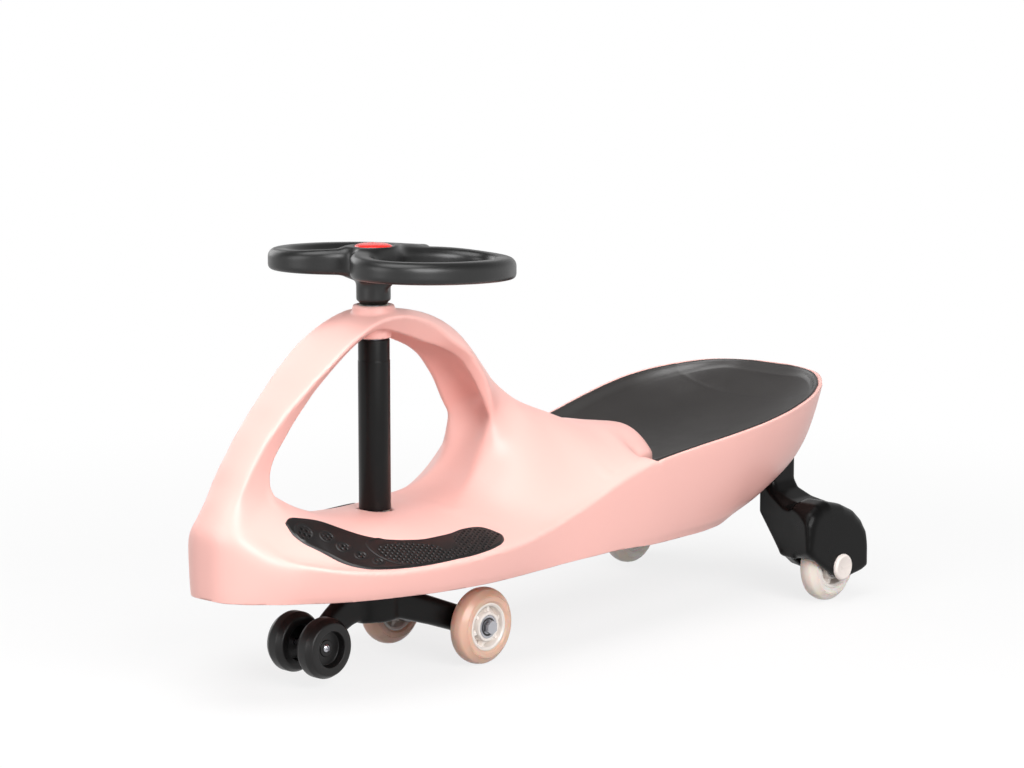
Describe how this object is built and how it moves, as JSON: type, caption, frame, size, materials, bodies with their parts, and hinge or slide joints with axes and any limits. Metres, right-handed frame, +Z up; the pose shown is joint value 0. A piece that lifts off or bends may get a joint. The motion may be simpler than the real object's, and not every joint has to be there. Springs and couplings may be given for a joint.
{
  "type": "wiggle car",
  "caption": "Child's swing-steered ride-on car: arched moulded shell with dished seat and foot pads, turned by a two-lobed steering wheel on a wheeled fork.",
  "frame": {"origin": "on the floor, under the middle of the overall box", "axes": "+Z up, the nose faces -Y, the car's left side is +X"},
  "size_m": [0.3138, 0.808, 0.4015],
  "materials": {
    "pink_plastic": "satin moulded",
    "seat_black": "fine grain",
    "pad_black": "dotted tread",
    "black_plastic": "satin",
    "caster_black": "satin",
    "red_plastic": "gloss",
    "tread": "translucent",
    "hub_plastic": "translucent white",
    "cream_plastic": "gloss",
    "bush_plastic": "natural",
    "steel": "zinc plated"
  },
  "bodies": {
    "body": {"body_shell": "pink_plastic", "seat_pan": "seat_black", "seat_screws": "steel", "foot_pad_left": "pad_black", "foot_pad_right": "pad_black", "upper_bush": "bush_plastic", "lower_bush": "bush_plastic", "rear_bracket_left": "black_plastic", "rear_bracket_right": "black_plastic", "bracket_screws": "steel", "rear_axle_left": "steel", "rear_axle_right": "steel", "rear_axle_cap_left": "cream_plastic", "rear_axle_cap_right": "cream_plastic"},
    "steering": {"steering_wheel": "black_plastic", "steering_cap": "red_plastic", "steering_nut": "steel", "steering_shaft": "steel", "column_sleeve": "black_plastic", "thrust_washer": "bush_plastic", "front_fork": "black_plastic", "fork_pin": "steel", "front_axle": "steel", "front_axle_nuts": "steel", "caster_axle": "steel"},
    "front_wheel_left": {"front_tyre_left": "tread", "front_hub_left": "hub_plastic", "front_bearings_left": "steel"},
    "front_wheel_right": {"front_tyre_right": "tread", "front_hub_right": "hub_plastic", "front_bearings_right": "steel"},
    "rear_wheel_left": {"rear_tyre_left": "tread", "rear_hub_left": "hub_plastic", "rear_bearings_left": "steel"},
    "rear_wheel_right": {"rear_tyre_right": "tread", "rear_hub_right": "hub_plastic", "rear_bearings_right": "steel"},
    "caster_wheel_left": {"caster_left": "caster_black"},
    "caster_wheel_right": {"caster_right": "caster_black"}
  },
  "joints": [
    {"name": "steering_turn", "type": "hinge", "parent": "body", "child": "steering", "pos_m": [0, -0.19198, 0.2], "axis": [0, 0, 1], "continuous": true},
    {"name": "front_wheel_left_spin", "type": "hinge", "parent": "steering", "child": "front_wheel_left", "pos_m": [0.06, -0.11198, 0.037], "axis": [1, 0, 0], "continuous": true},
    {"name": "front_wheel_right_spin", "type": "hinge", "parent": "steering", "child": "front_wheel_right", "pos_m": [-0.06, -0.11198, 0.037], "axis": [1, 0, 0], "continuous": true},
    {"name": "caster_left_spin", "type": "hinge", "parent": "steering", "child": "caster_wheel_left", "pos_m": [0.0198, -0.27798, 0.03825], "axis": [1, 0, 0], "continuous": true},
    {"name": "caster_right_spin", "type": "hinge", "parent": "steering", "child": "caster_wheel_right", "pos_m": [-0.0198, -0.27798, 0.03825], "axis": [1, 0, 0], "continuous": true},
    {"name": "rear_wheel_left_spin", "type": "hinge", "parent": "body", "child": "rear_wheel_left", "pos_m": [0.1334, 0.32462, 0.037], "axis": [1, 0, 0], "continuous": true},
    {"name": "rear_wheel_right_spin", "type": "hinge", "parent": "body", "child": "rear_wheel_right", "pos_m": [-0.1334, 0.32462, 0.037], "axis": [1, 0, 0], "continuous": true}
  ]
}
